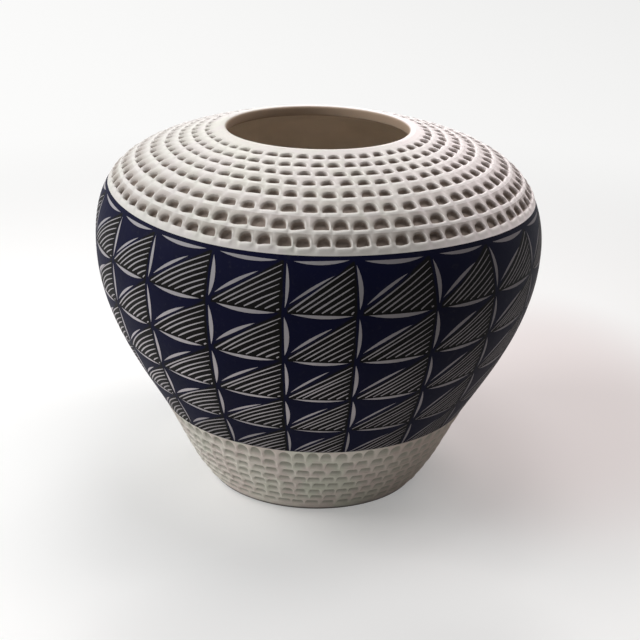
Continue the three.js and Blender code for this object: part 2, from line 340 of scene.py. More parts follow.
class Outline:
    """The outside of the vase as radius and height along its arc length, from the floor up."""
    STEPS = 2000

    def __init__(self, form):
        def lean(angle_from_upright, pull):
            return np.array([math.sin(angle_from_upright), math.cos(angle_from_upright)]) * pull
        foot = np.array([form.foot_radius, 0.0])
        waist = np.array([form.waist_radius, form.waist_height])
        belly = np.array([form.belly_radius, form.belly_height])
        rim = np.array([form.rim_radius, form.rim_height])
        inwards = form.shoulder_rise - math.pi / 2
        curves = [
            [foot, foot + lean(form.foot_lean, form.foot_pull),
             waist - lean(form.waist_lean, form.below_waist), waist],
            [waist, waist + lean(form.waist_lean, form.above_waist),
             belly - lean(0, form.below_belly), belly],
            [belly, belly + lean(0, form.above_belly), rim - lean(inwards, form.rim_pull), rim],
        ]
        t = np.linspace(0, 1, self.STEPS)
        self.points = np.vstack([bezier(c, t)[min(i, 1):] for i, c in enumerate(curves)])
        steps = np.hypot(*np.diff(self.points, axis=0).T)
        self.arcs = np.concatenate([[0], np.cumsum(steps)])
        self.tangents = np.gradient(self.points, self.arcs, axis=0)
        self.waist = self.arcs[self.STEPS - 1]
        self.belly = self.arcs[2 * self.STEPS - 2]
        self.rim = self.arcs[-1]
        self.form = form

    def at(self, arc):
        """Radius, height and the tangent's two parts at arc lengths of any shape."""
        return [np.interp(arc, self.arcs, column) for column in (*self.points.T, *self.tangents.T)]

    def face(self, arc, proud):
        """Radius and height at `proud` above the outline: the point plus proud times the normal."""
        radius, height, along_r, along_z = self.at(arc)
        return radius + proud * along_z, height - proud * along_r

    def joint(self, arc, depth):
        """Radius and height on a joint face: inwards by depth and down the wall by its lap."""
        radius, height, along_r, along_z = self.at(arc)
        lap = depth * self.form.joint_lap / self.form.wall
        return radius - depth * along_z - lap * along_r, height + depth * along_r - lap * along_z

    def place(self, turn, radius, height):
        """Points at a turn to the right of the front (-Y), a radius and a height.

        The hand-built vase leans a little left from the belly up, and lies lower at the back.
        """
        lean = self.form.lean_left * smooth(height, self.form.belly_height, self.form.rim_height)
        low = 0.5 * self.form.low_back * (1 - np.cos(turn)) * smooth(height, 60 * MM, 150 * MM)
        parts = radius * np.sin(turn) - lean, -radius * np.cos(turn), height - low
        return np.stack(np.broadcast_arrays(*parts), -1)


def joints(outline):
    """Arc lengths of the joints of the foot, belly and shoulder coils, and of the rim coil."""
    form, imprints, band, _, _ = settings()
    top = outline.belly + band.above_belly
    rim = outline.rim - form.lip_radius
    foot = spaced(form.slab_rise, outline.waist, [row[2] for row in FOOT_ROWS])
    belly = spaced(outline.waist, top, [1] * len(COILS["belly"]))
    shoulder = spaced(top + imprints.margin, rim, [row[2] for row in SHOULDER_ROWS])
    return foot, belly, shoulder, rim


def spaced(start, end, shares):
    """Positions from start to end, a step for each share in proportion to it."""
    sums = np.concatenate([[0], np.cumsum(shares)])
    return start + (end - start) * sums / sums[-1]


def wobble(turn, height, size):
    """Unevenness of the wall, from -2 size to 0: three slow waves round and up the vase."""
    waves = (np.sin(2 * turn + 9 * height + 0.6) + np.sin(3 * turn - 23 * height + 2.1)
             + np.sin(5 * turn + 41 * height + 4.0))
    return size * (waves / 3 - 1)


def mesh_object(name, points, faces, material, attributes=(), sharp=math.radians(42)):
    """A mesh object from points and faces, with point attributes given as name and values."""
    mesh = bpy.data.meshes.new(name)
    mesh.from_pydata(points.reshape(-1, 3).tolist(), [], faces)
    for key, values in attributes:
        layer = mesh.attributes.new(key, "FLOAT", "POINT")
        layer.data.foreach_set("value", np.ascontiguousarray(values, np.float32).ravel())
    mesh.shade_smooth()
    mesh.set_sharp_from_angle(angle=sharp)
    mesh.materials.append(material)
    mesh.update()
    piece = bpy.data.objects.new(name, mesh)
    bpy.context.scene.collection.objects.link(piece)
    return piece


def ring_faces(rows, columns):
    """Quads of a grid that closes both ways: each goes right, then up, then back."""
    i, j = np.meshgrid(np.arange(rows), np.arange(columns), indexing="ij")
    up, right = (i + 1) % rows, (j + 1) % columns
    quads = np.stack([i * columns + j, i * columns + right, up * columns + right, up * columns + j], -1)
    return quads.reshape(-1, 4).tolist()


def finished(piece, node):
    """A piece that stands for a node of the frame and rides on the body."""
    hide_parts(node)
    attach(piece, BODY)


def turned(name, outline, outer, inner, material, solid=False, inside=()):
    """A ring or a solid: section points (radius, height) swept round, plus the wall's wobble.

    The outer points come first. inside says how far a point belongs to the bare inner wall,
    0 for the outer ones and 1 for the inner ones unless it is given. A solid has a flat face
    at each end of its section and wobbles less towards the axis.
    """
    form = outline.form
    low = form.foot_radius - form.foot_edge
    turn = np.linspace(0, TURN, SMOOTH_STEPS, endpoint=False)[None, :]
    radius, height = (np.array(s)[:, None] for s in zip(*outer, *inner))
    steady = smooth(radius, 0.3 * low, low) if solid else 1
    radius = radius + wobble(turn, height, form.wobble) * steady
    faces = ring_faces(*radius.shape)
    if solid:
        ends = range(SMOOTH_STEPS - 1, -1, -1), range(radius.size - SMOOTH_STEPS, radius.size)
        faces[-SMOOTH_STEPS:] = map(list, ends)
    inside = inside or [0.0] * len(outer) + [1.0] * len(inner)
    # Painted contact shadow on the lowest part of the slab's rounding, kept in the edge attribute
    contact_shade = (1 - smooth(height, 0.9 * MM, 2.5 * MM)) * smooth(radius, low - 2 * MM, low + 0.3 * MM)
    return mesh_object(name, outline.place(turn, radius, height), faces, material,
                       [("inside", np.array(inside)[:, None] + 0 * turn), ("edge", contact_shade)])


# Corrugated coils

def pressed(kind, **sizes):
    """How the imprints of a kind are pressed: the two tables' values, and sizes from the settings."""
    which = ("foot", "shoulder").index(kind)
    return {**{key: MM * pair[which] for key, pair in LENGTHS_PRESSED.items()},
            **{key: pair[which] for key, pair in SHARES_PRESSED.items()}, **sizes}


def imprint_field(x, y, half, tall, drop, style):
    """Height of the face round an imprint, and its hollow, painted shade and lip there, up to 1.

    x and y run across and up from the middle of the flat edge, whose corners turn up. The
    distance rho, of which |x / half|^square + (y / tall)^2.2 is the power 2.5, is 1 on the
    arch. The hollow deepens from the arch inwards, more softly at the left by skew, and ends
    below in a short wall at y = 0. With fade it is deepest under the arch and runs out
    towards the flat edge. The tool has pushed up a roll of clay below the flat edge,
    exp(-((-y - lip_drop) / lip_width)^2), and a thinner curl up the right side. The painted
    shade follows the hollow, and a fainter painted shade, the shade halo, spreads over the
    arch. drop, from 0 to 1, draws the left side out.
    """
    y = y - style["corner"] * smooth(np.abs(x / half), 0.45, 1.15)
    left = (style["skew"] + DROP_SKEW * drop) * (0.5 - 0.5 * np.clip(x / half, -1, 1))
    across = np.abs(x) / (half * (1 + left))
    square = style["square"] - DROP_POWER * drop * np.clip(-x / half, 0, 1)
    rho = (across ** square + (np.maximum(y, 0) / tall) ** RISE_POWER) ** (1 / WHOLE_POWER)
    hollow = 1 - smooth(rho, style["floor"] - 1.5 * left, 1.0)
    hollow = hollow * smooth(y, -style["wall"], 0)
    hollow = hollow * (1 - style["fade"] * (1 - smooth(y / tall, -0.1, 0.8)))
    beyond = -np.minimum(y, 0) - style["lip_drop"]
    reach = np.where(beyond < 0, 0.9 * style["lip_drop"], style["lip_width"])
    roll = np.exp(-(beyond / reach) ** 2) * (1 - smooth(np.abs(x / half - 0.08), 0.65, 1.35))
    curl = np.exp(-(((rho - 1) * half - 0.35 * MM) / (0.4 * MM)) ** 2) * smooth(x / half, 0.2, 0.9)
    curl = curl * (1 - smooth(y, 0.35 * tall, tall))
    below = 1 - smooth(y, -0.25 * tall, 0.3 * tall)
    lip = (roll * below + style["curl"] * curl * (1 - below)) * (1 - DROP_LIP * drop)
    # A faint painted shade over the arch, standing for the shade round the imprint
    shade_halo = style["shade_halo"] * (1 - smooth(rho, 0.95, 2.1)) * smooth(y, -style["wall"], 0.3 * tall)
    return (style["lip"] * lip - style["depth"] * hollow, hollow,
            np.maximum(hollow, shade_halo * (1 - curl)), lip)


class ImprintRow:
    """A row of imprints on one coil, each a little off its place, size and tilt.

    Their pitch drifts round the coil: an even row's turn gains a share of sin(turn). A soft
    ridge stands between neighbours.
    """

    def __init__(self, outline, first, width, row, style, seed):
        count, front_count, _, lead, height_share = row
        rng = np.random.default_rng(seed)
        self.style = style
        self.flat = first + width * style["start"]
        self.tall = width * height_share
        self.radius = float(outline.at(self.flat)[0])
        self.pitch = TURN / count
        self.half = 0.5 * self.pitch * self.radius * style["width"]
        uneven = rng.normal(0, style["stray"], count)
        even = math.radians(lead) + self.pitch * (np.arange(count) + uneven - uneven[0])
        self.centres = even + (count - front_count) / count * np.sin(even)
        self.wide = rng.normal(1, style["vary"], count)
        self.high = rng.normal(1, style["vary"], count)
        self.deep = rng.normal(1, 2 * style["vary"], count)
        self.slide = rng.normal(0, style["slide"], count)
        self.tilt = rng.normal(style["lean"], style["tilt"], count)
        left = smooth(-np.sin(self.centres), 0.25, 0.85)
        self.high = self.high * (1 - style["low_left"] * left)
        self.drop = style["drop_left"] * left

    def columns(self, steps):
        """Turns of the grid's columns, `steps` to an imprint, between the middles of the gaps."""
        after = np.append(self.centres[1:], self.centres[0] + TURN)
        before = np.concatenate([[self.centres[-1] - TURN], self.centres[:-1]])
        u = np.linspace(-0.5, 0.5, steps, endpoint=False)[None, :]
        there = self.centres[:, None]
        turns = there + np.where(u < 0, u * (there - before[:, None]), u * (after[:, None] - there))
        return turns.reshape(1, -1)

    def nearest(self, turn):
        """Which imprint is nearest to each turn, and how far across the wall it lies."""
        middles = 0.5 * (self.centres[1:] + self.centres[:-1])
        first = 0.5 * (self.centres[-1] - TURN + self.centres[0])
        wrapped = first + np.mod(turn - first, TURN)
        index = np.searchsorted(middles, wrapped + 1e-9)
        return index, (wrapped - self.centres[index]) * self.radius

    def shift(self, turn):
        """How far the imprint at a turn is moved and tilted up the wall: waves of one pitch."""
        index, x = self.nearest(turn)
        span = self.pitch * self.radius / TURN
        wave = np.clip(x / span, -math.pi, math.pi)
        return self.slide[index] * (0.5 + 0.5 * np.cos(wave)) + self.tilt[index] * span * np.sin(wave)

    def field(self, turn, arc):
        """Height of the face, the painted shade and the lips at points of the wall."""
        index, x = self.nearest(turn)
        y = arc - self.flat - self.shift(turn)
        height, hollow, hollow_shade, lip = imprint_field(
            x, y, self.half * self.wide[index], self.tall * self.high[index], self.drop[index], self.style)
        ridge = smooth(np.abs(x) / (self.pitch * self.radius), 0.44 * self.style["width"], 0.5)
        ridge = ridge * smooth(y, -0.5 * self.tall, 0) * (1 - smooth(y, 0.4 * self.tall, 1.2 * self.tall))
        height = height + self.style["rim"] * ridge * (1 - hollow)
        return height + (1 - self.deep[index]) * hollow * self.style["depth"], hollow_shade, lip


def corrugated_coil(name, outline, start, end, first, own, above, steps, material, strays):
    """One coil with a row of imprints pressed into its outer face.

    Round the vase the grid has `steps` columns to an imprint, and across the coil its rows
    crowd at the flat edge. A grid point is the outline's point at its arc, raised by the
    coil's bead and by the fields of its own imprints and of those above, whose roll hangs
    over the joint. The inner wall closes the ring. The joints stray with the potter's hand,
    by two amounts, at the coil's start and at its end.
    """
    form, style, flat = outline.form, own.style, own.flat
    turn = own.columns(steps)
    lip_low, lip_high, arch = flat - 1.6 * MM, flat + 0.15 * MM, flat + 1.1 * own.tall
    stops = [start, lip_low, flat - style["wall"] - 0.05 * MM, lip_high, arch]
    arcs = np.concatenate([np.linspace(low, high, rows, endpoint=False)
                           for low, high, rows in zip(stops, stops[1:], (6, 4, 6, 12))]
                          + [np.linspace(arch, end, 6)])
    free = np.interp(arcs, [start, lip_low, arch, end], [0, 1, 1, 0])
    arc = arcs[:, None] + own.shift(turn) * free[:, None]
    field, hollow_shade, lip = own.field(turn, arc)
    if above:
        field_above, _, lip_above = above.field(turn, arc)
        field, lip = field + field_above, lip + lip_above
    climb = smooth(arcs, start, end)[:, None]
    hand = stray(turn, strays[0]) * (1 - climb) + stray(turn, strays[1]) * climb
    across = np.clip((arcs - first) / (end - first), 0, 1)
    lift = smooth(across, 0, style["crest"]) * (1 - smooth(across, style["crest"], 1))
    bead = style["bead"] * lift - style["groove"] * (1 - lift)
    if first > start:
        bead = bead * smooth(arcs, start, first + 0.5 * (flat - first))
    outer = outline.face(arc + hand, bead[:, None] + field)
    inner = outline.joint(np.linspace(end, start, INNER_STEPS), form.wall)
    bare = np.zeros((INNER_STEPS, turn.size))
    radius, height = (np.vstack([o, i[:, None] + bare]) for o, i in zip(outer, inner))
    radius = radius + wobble(turn, height, form.wobble)
    # Point attributes: painted shade in the hollows, the bare inside, and the painted highlight on the lips
    attributes = [(key, np.vstack([o, i])) for key, o, i in (
        ("recess", hollow_shade, bare), ("inside", 0 * hollow_shade, 1 + bare), ("worn", lip, bare))]
    return mesh_object(name, outline.place(turn, radius, height), ring_faces(*radius.shape), material,
                       attributes)


def corrugated_coils(kind, outline, arcs, start, rows, style, steps, material, strays, seed):
    """The coils of one kind, from the lowest up, on the frame's nodes.

    Row by row, the painted shade halo and the lip grow fainter by ROW_FADE.
    """
    imprints = []
    for i, row in enumerate(rows):
        fainter = {key: style[key] * (1 - ROW_FADE * i) for key in ("shade_halo", "lip")}
        width = arcs[i + 1] - arcs[i]
        imprints.append(ImprintRow(outline, arcs[i], width, row, {**style, **fainter}, seed + i))
    for i, node in enumerate(COILS[kind]):
        low = start if i == 0 else arcs[i]
        above = imprints[i + 1] if i + 1 < len(rows) else None
        coil = corrugated_coil(f"{kind}_ring_{i + 1}", outline, low, arcs[i + 1], arcs[i], imprints[i],
                               above, steps, material, strays[i:i + 2])
        finished(coil, node)


# Shader maths

def with_math(operation, swapped=False):
    """A method of Socket that adds a Math node."""
    def method(self, other):
        a, b = (other, self) if swapped else (self, other)
        return self.shader.math(operation, a, b)
    return method


class Socket:
    """An output socket that takes part in Python arithmetic."""

    def __init__(self, shader, link):
        self.shader = shader
        self.link = link

    __add__ = __radd__ = with_math("ADD")
    __mul__ = __rmul__ = with_math("MULTIPLY")
    __sub__ = with_math("SUBTRACT")
    __rsub__ = with_math("SUBTRACT", swapped=True)
    __truediv__ = with_math("DIVIDE")
    __gt__ = with_math("GREATER_THAN")

    def clamped(self):
        """The value between 0 and 1."""
        return self.shader.math("ADD", self, 0.0, use_clamp=True)

    def eased(self, low, high):
        """0 at low and 1 at high, with a smooth step between."""
        return self.shader.node("MapRange", {"interpolation_type": "SMOOTHSTEP"},
                                {"Value": self, "From Min": low, "From Max": high}, "Result")


class Shader:
    """Nodes of one material, or of the world."""

    def __init__(self, owner):
        owner.use_nodes = True
        self.owner = owner
        self.tree = owner.node_tree
        self.tree.nodes.clear()

    def node(self, kind, choices, inputs, output=0):
        """A node of a kind, with its choices set first and then its sockets' values or links."""
        made = self.tree.nodes.new("ShaderNode" + kind)
        for key, value in choices.items():
            setattr(made, key, value)
        for key, value in inputs.items():
            if isinstance(value, Socket):
                self.tree.links.new(value.link, made.inputs[key])
            else:
                made.inputs[key].default_value = value
        return made if output is None or not len(made.outputs) else Socket(self, made.outputs[output])

    def math(self, operation, a, b, use_clamp=False):
        """A Math node."""
        return self.node("Math", {"operation": operation, "use_clamp": use_clamp}, {0: a, 1: b})

    def place(self):
        """Object coordinates."""
        return self.node("TexCoord", {}, {}, "Object")

    def parts(self, vector):
        """The x, y and z of a vector."""
        split = self.node("SeparateXYZ", {}, {"Vector": vector}, None)
        return [Socket(self, output) for output in split.outputs]

    def seen(self):
        """1 for light that goes to the camera, straight or by gloss or glass, and 0 for the rest."""
        rays = self.node("LightPath", {}, {}, None).outputs
        camera, gloss, glass = (Socket(self, rays[f"Is {kind} Ray"])
                                for kind in ("Camera", "Glossy", "Transmission"))
        return (camera + gloss + glass).clamped()

    def attribute(self, name):
        """A point attribute of the mesh, or 0 where it has none."""
        return self.node("Attribute", {"attribute_name": name}, {}, "Fac")

    def noise(self, scale, detail):
        """Noise with `scale` features to the metre."""
        return self.node("TexNoise", {}, {"Vector": self.place(), "Scale": scale, "Detail": detail,
                                          "Roughness": 0.55}, "Fac")

    def mix(self, factor, a, b):
        """One colour towards another."""
        a, b = (v if isinstance(v, Socket) else (*v, 1.0) for v in (a, b))
        return self.node("Mix", {"data_type": "RGBA"}, {0: factor, 6: a, 7: b}, 2)

    def bump(self, height, distance, strength):
        """A normal bent by a height field."""
        return self.node("Bump", {}, {"Height": height, "Distance": distance, "Strength": strength}, "Normal")

    def finish(self, base, roughness, normal, specular):
        """The surface shader and the output."""
        surface = self.node("BsdfPrincipled", {}, {
            "Base Color": base, "Roughness": roughness, "Normal": normal, "Specular IOR Level": specular})
        self.node("OutputMaterial", {}, {"Surface": surface})
        return self.owner


def clay(name, colours):
    """A clay: clouded and finely speckled outside, with painted shade in its hollows, bare inside.

    The lips of the imprints carry a painted highlight. Painted shade darkens the clay at the
    left; towards the right and the back a painted side light lightens the white clay and darkens
    the foot clay, and high at the back a painted highlight lightens it. A painted contact shadow
    darkens the slab's lower edge, and painted shade darkens the inside just below the mouth. Both
    kinds of clay are made once and shared.
    """
    if name in bpy.data.materials:
        return bpy.data.materials[name]
    look = CLAYS[name]
    face, hollow, inside = (tuple(getattr(colours, key)) for key in (look["face"], look["hollow"], "inside"))
    shader = Shader(bpy.data.materials.new(name))
    mix = shader.mix
    fine, dust = shader.noise(700, 2), shader.noise(1500, 1)
    x, y, z = shader.parts(shader.place())
    outer = mix(shader.noise(45, 2).eased(0.42, 0.6) * 0.8, face, look["clouds"][0])
    outer = mix(shader.noise(62, 2).eased(0.45, 0.62) * 0.8, outer, look["clouds"][1])
    # Painted shade: the clay is darker towards the left
    outer = mix((1 - x.eased(-0.09, -0.03)) * 0.5, outer, LEFT_SHADE)
    # Painted side light: towards the right and the back the white clay turns lighter and pinker, the foot
    # clay darker and redder
    outer = mix((x * 0.85 + y * 0.4).eased(*look["reach"]) * look["side_light_strength"], outer, look["side_light_tint"])
    # Painted highlight: the clay is lighter high at the back
    outer = mix(y.eased(-0.01, 0.07) * z.eased(0.1, 0.15) * 0.6, outer, BACK_HIGHLIGHT)
    # Painted highlight on the imprints' lips, where light catches the roll
    outer = mix(shader.attribute("worn").clamped() * look["worn"], outer, LIP_HIGHLIGHT)
    # Painted shade in and round the imprints' hollows, from the hollows' attribute
    hollow_shade = shader.attribute("recess").eased(0.0, look["full"]) * look["hollow_shade"]
    outer = mix((fine - 0.5) * look["speck"] + hollow_shade, outer, hollow)
    outer = mix(shader.noise(160, 4).eased(0.62, 0.8) * 0.12, outer, hollow)
    # Painted contact shadow on the slab's lower edge
    outer = mix(shader.attribute("edge"), outer, CONTACT_SHADOW)
    inner = mix(shader.noise(45, 4).eased(0.3, 0.75) * 0.5, inside, tuple(0.72 * c for c in inside))
    inner = mix(z.eased(0.179, 0.1855), inner, MOUTH_SHADE)
    normal = shader.bump(fine * 0.7 + dust * 0.3, 0.12 * MM, 0.55)
    return shader.finish(mix(shader.attribute("inside"), outer, inner), 0.62 + fine * 0.2, normal, 0.35)


def slip_material(colours):
    """Blue slip, black under the hatching, and darker towards the right with painted shade.

    The hatching lies below the diagonal of each cell of the pattern map.
    """
    shader = Shader(bpy.data.materials.new("blue_black_slip"))
    across, down, _ = shader.parts(shader.node("UVMap", {"uv_map": "pattern"}, {}))
    waver = (shader.noise(90, 3) - 0.5) * 0.05
    below_border = down > 0.0
    across = shader.math("FRACT", across, 0) + waver
    down = shader.math("FRACT", down, 0) + waver
    diagonal = (across + down).eased(0.92, 0.96)
    inset = across.eased(0.03, 0.05) * (1 - across.eased(0.955, 0.975))
    cloud = shader.noise(60, 4).eased(0.3, 0.75)
    wear = shader.noise(420, 3).eased(0.55, 0.8)
    navy = shader.mix(cloud * 0.55, tuple(colours.navy), tuple(0.62 * c for c in colours.navy))
    black = shader.mix(cloud * 0.5, tuple(colours.black), tuple(1.5 * c for c in colours.black))
    base = shader.mix(diagonal * inset * below_border, navy, black)
    # Painted shade: the slip darkens towards the right
    base = shader.mix(shader.parts(shader.place())[0].eased(-0.01, 0.08) * 0.5, base, (0.0, 0.0, 0.0))
    base = shader.mix(wear * 0.05, base, (0.16, 0.15, 0.15))
    fine = shader.noise(520, 3)
    return shader.finish(base, 0.5 + fine * 0.16, shader.bump(fine, 0.06 * MM, 0.5), 0.05)


def mark_material(colours):
    """Grey clay in the cut marks, a little dusty, paler lower down but darker again at the very bottom, and
    darker at the right with painted shade.
    """
    shader = Shader(bpy.data.materials.new("bared_clay"))
    dust = (0.1, 0.1, 0.1)
    cloud = shader.noise(55, 3).eased(0.3, 0.7)
    fine = shader.noise(900, 3)
    x, _, z = shader.parts(shader.place())
    base = shader.mix(z.eased(0.07, 0.15), tuple(colours.mark_low), tuple(colours.mark))
    # Darker towards the bottom of the band
    base = shader.mix((1 - z.eased(0.05, 0.08)) * 0.35, base, dust)
    # Painted shade: the marks darken towards the right
    base = shader.mix(x.eased(-0.015, 0.065) * 0.57, base, (0.07, 0.055, 0.06))
    base = shader.mix(cloud * 0.15, base, dust)
    base = shader.mix((fine - 0.45) * 0.25, base, (0.1, 0.09, 0.08))
    return shader.finish(base, 0.8, shader.bump(fine, 0.08 * MM, 0.6), 0.25)


def floor_material(colours):
    """A matt paper floor that takes the vase's shadow and fades to white far off.

    Seen straight, or in gloss, it is pale, a little darker towards the right and the back, with
    painted shadows at the right of the vase and in front of it. It shines on its own by a share
    near the vase, a painted light that lightens the vase's shadow, and fully far off. For light
    that bounces it is a light grey.
    """
    shader = Shader(bpy.data.materials.new("floor"))
    seen = shader.seen()
    x, y, _ = shader.parts(shader.place())
    away = shader.node("VectorMath", {"operation": "LENGTH"}, {0: shader.place()}, "Value")
    tone = (x * 0.6 + y * 0.25).eased(-0.25, 0.9)
    pale = shader.mix(tone, tuple(colours.floor), tuple(0.86 * c for c in colours.floor))
    # Painted shadows on the floor: a rosy one at the right of the vase and a grey one in front
    for across, along, wide, deep, shade in FLOOR_SHADES:
        dx, dy = (x - across) / wide, (y - along) / deep
        pale = shader.mix(1 - (dx * dx + dy * dy).eased(0.05, 1.0), pale, shade)
    base = shader.mix(seen, BOUNCE, pale)
    paper = shader.node("BsdfPrincipled", {}, {
        "Base Color": base, "Roughness": 0.95, "Specular IOR Level": 0.1})
    glow = shader.node("Emission", {}, {"Color": pale, "Strength": 1.0})
    # The floor glows a 0.3 share near the vase, a painted light that lightens its shadow, and fully far off
    shining = (0.30 + away.eased(0.30, 0.75) * 0.70) * seen
    surface = shader.node("MixShader", {}, {0: shining, 1: paper, 2: glow})
    shader.node("OutputMaterial", {}, {"Surface": surface})
    return shader.owner


# Pieces

class VASE_OT_stage(bpy.types.Operator):
    """Make the floor, the lights and the camera"""
    bl_idname = "vase.stage"
    bl_label = "Stage"

    def execute(self, context):
        scene = context.scene
        _, _, _, colours, stage = settings()
        corners = FLOOR_REACH * np.array([[-1, -1, 0], [1, -1, 0], [1, 1, 0], [-1, 1, 0]])
        mesh_object("floor", corners, [[0, 1, 2, 3]], floor_material(colours))

        scene.world = bpy.data.worlds.new("studio")
        shader = Shader(scene.world)
        sky = shader.node("Background", {}, {"Color": SKY_LIGHT, "Strength": stage.sky})
        backdrop = shader.node("Background", {}, {"Color": BACKDROP, "Strength": 1.0})
        mixed = shader.node("MixShader", {}, {0: shader.seen(), 1: sky, 2: backdrop})
        shader.node("OutputWorld", {}, {"Surface": mixed})

        for name, (size, tint, spot) in LAMPS.items():
            lamp = bpy.data.lights.new(name, "AREA")
            lamp.size = size
            lamp.energy = getattr(stage, name)
            lamp.color = tint
            light = bpy.data.objects.new(name, lamp)
            light.location = spot
            light.rotation_mode = "QUATERNION"
            light.rotation_quaternion = (AIM - light.location).to_track_quat("-Z", "Y")
            scene.collection.objects.link(light)

        eye = bpy.data.cameras.new("camera")
        eye.sensor_width = 36
        eye.lens = stage.focal
        eye.shift_x = stage.shift
        eye.clip_start, eye.clip_end = 0.01, 20
        camera = bpy.data.objects.new("camera", eye)
        camera.location = (0, -stage.distance, stage.height)
        camera.rotation_mode = "ZYX"
        camera.rotation_euler = (math.pi / 2 - stage.pitch, 0, stage.roll)
        scene.collection.objects.link(camera)
        scene.camera = camera
        scene.view_settings.view_transform = "Standard"
        return {"FINISHED"}


class VASE_OT_base_slab(bpy.types.Operator):
    """Make the slab that the vase is started on"""
    bl_idname = "vase.base_slab"
    bl_label = "Base slab"

    def execute(self, context):
        form, _, _, colours, _ = settings()
        outline = Outline(form)
        edge = form.foot_edge
        side = outline.at(edge)
        low = form.foot_radius - edge
        under = [(low * s, 0.0) for s in (0.02, 0.35, 0.7, 0.97)]
        rounding = [(low + (side[0] - low) * math.sin(b), side[1] * (1 - math.cos(b)))
                    for b in np.linspace(0, math.pi / 2, 5)]
        wall = list(zip(*outline.face(np.linspace(edge, form.slab_rise, 6)[1:], 0)))
        joint = outline.joint(form.slab_rise, form.wall)
        floor = [((joint[0] - form.wall) * s, form.floor) for s in (1.0, 0.7, 0.35, 0.02)]
        slab = turned("slab", outline, under + rounding + wall, [joint] + floor,
                      clay("beige_clay", colours), solid=True)
        finished(slab, "base_slab")
        return {"FINISHED"}


class VASE_OT_foot_coils(bpy.types.Operator):
    """Make the foot coils with their rows of scales"""
    bl_idname = "vase.foot_coils"
    bl_label = "Foot coils"

    def execute(self, context):
        form, imprints, _, colours, _ = settings()
        outline = Outline(form)
        style = pressed("foot", depth=imprints.scale_depth, width=imprints.scale_width,
                        start=imprints.scale_start, rim=imprints.scale_rim, lip=0.05 * MM,
                        bead=0.02 * MM, groove=0.02 * MM)
        arcs = joints(outline)[0]
        strays = [(0, 0, 0, 0)] * len(arcs)
        corrugated_coils("foot", outline, arcs, arcs[0], FOOT_ROWS, style, SCALE_STEPS,
                         clay("beige_clay", colours), strays, 100)
        return {"FINISHED"}


class VASE_OT_belly_coils(bpy.types.Operator):
    """Make the broad coils behind the slip band"""
    bl_idname = "vase.belly_coils"
    bl_label = "Belly coils"

    def execute(self, context):
        form, _, band, colours, _ = settings()
        outline = Outline(form)
        arcs = joints(outline)[1]
        for i, node in enumerate(COILS["belly"]):
            start, end = arcs[i], arcs[i + 1]
            outer = list(zip(*outline.face(np.linspace(start, end, 9), -band.thickness)))
            inner = list(zip(*outline.joint(np.linspace(end, start, 13), form.wall)))
            coil = turned(f"belly_ring_{i + 1}", outline, outer, inner, clay("beige_clay", colours))
            finished(coil, node)
        return {"FINISHED"}


def column_turns():
    """Where the pattern's upright lines stand: those in front as seen, the others evenly between."""
    shown = np.radians(FRONT_COLUMNS)
    hidden = COLUMNS - len(shown)
    rest = np.linspace(shown[-1], shown[0] + TURN, hidden + 2)[1:-1]
    return np.concatenate([shown, rest, [shown[0] + TURN]])


def fanned(turn, arc):
    """The turn of an upright line at an arc length: the turn plus the fan times sin(turn)."""
    arcs, amounts = zip(*FAN)
    return turn + np.radians(np.interp(arc, MM * np.array(arcs), amounts)) * np.sin(turn)


def band_top(outline, band, turn):
    """Arc length of the band's upper edge at an upright line's turn."""
    top = outline.belly + band.above_belly
    return top + stray(fanned(turn, top), EDGE_STRAY)


def row_arcs(outline, band, turn):
    """Arc lengths of the pattern's level lines, from the top down, at an upright line's turn."""
    lines = -band.top_row - band.row * np.arange(band.rows)
    top = outline.belly + band.above_belly - band.border
    return np.stack([top + line + stray(turn, amounts)
                     for line, amounts in zip(np.concatenate([[0], lines]), ROW_STRAY)])


class VASE_OT_slip_band(bpy.types.Operator):
    """Lay the dark slip on the belly coils"""
    bl_idname = "vase.slip_band"
    bl_label = "Slip band"

    def execute(self, context):
        form, _, band, colours, _ = settings()
        outline = Outline(form)
        places = np.arange(COLUMNS * COLUMN_STEPS + 1) / COLUMN_STEPS
        upright = np.interp(places, np.arange(COLUMNS + 1), column_turns())[None, :-1]
        share_up = np.concatenate([np.linspace(0, 1, SKIN_STEPS), np.linspace(1, 0, BED_STEPS)])[:, None]
        arc = outline.waist + (band_top(outline, band, upright) - outline.waist) * share_up
        turn = fanned(upright, arc)
        sunk = np.repeat([band.sunk, band.thickness], [SKIN_STEPS, BED_STEPS])[:, None]
        radius, height = outline.face(arc, -sunk)
        radius = radius + wobble(turn, height, form.wobble)
        faces = ring_faces(*arc.shape)
        piece = mesh_object("slip_skin", outline.place(turn, radius, height), faces, slip_material(colours))
        lines = row_arcs(outline, band, upright)
        gaps = lines[:-1] - lines[1:]
        down = sum(np.clip((line - arc) / gap, 0, 1) for line, gap in zip(lines, gaps))
        down = np.where(arc > lines[0], -0.05, np.minimum(down, band.rows - 0.001))
        corners = np.array(faces)
        left = corners[:, :1] % arc.shape[1]
        across = places[left + [[0, 1, 1, 0]]]
        layer = piece.data.uv_layers.new(name="pattern")
        layer.data.foreach_set("uv", np.stack([across, down.ravel()[corners]], -1).astype(np.float32).ravel())
        finished(piece, "slip_band")
        return {"FINISHED"}


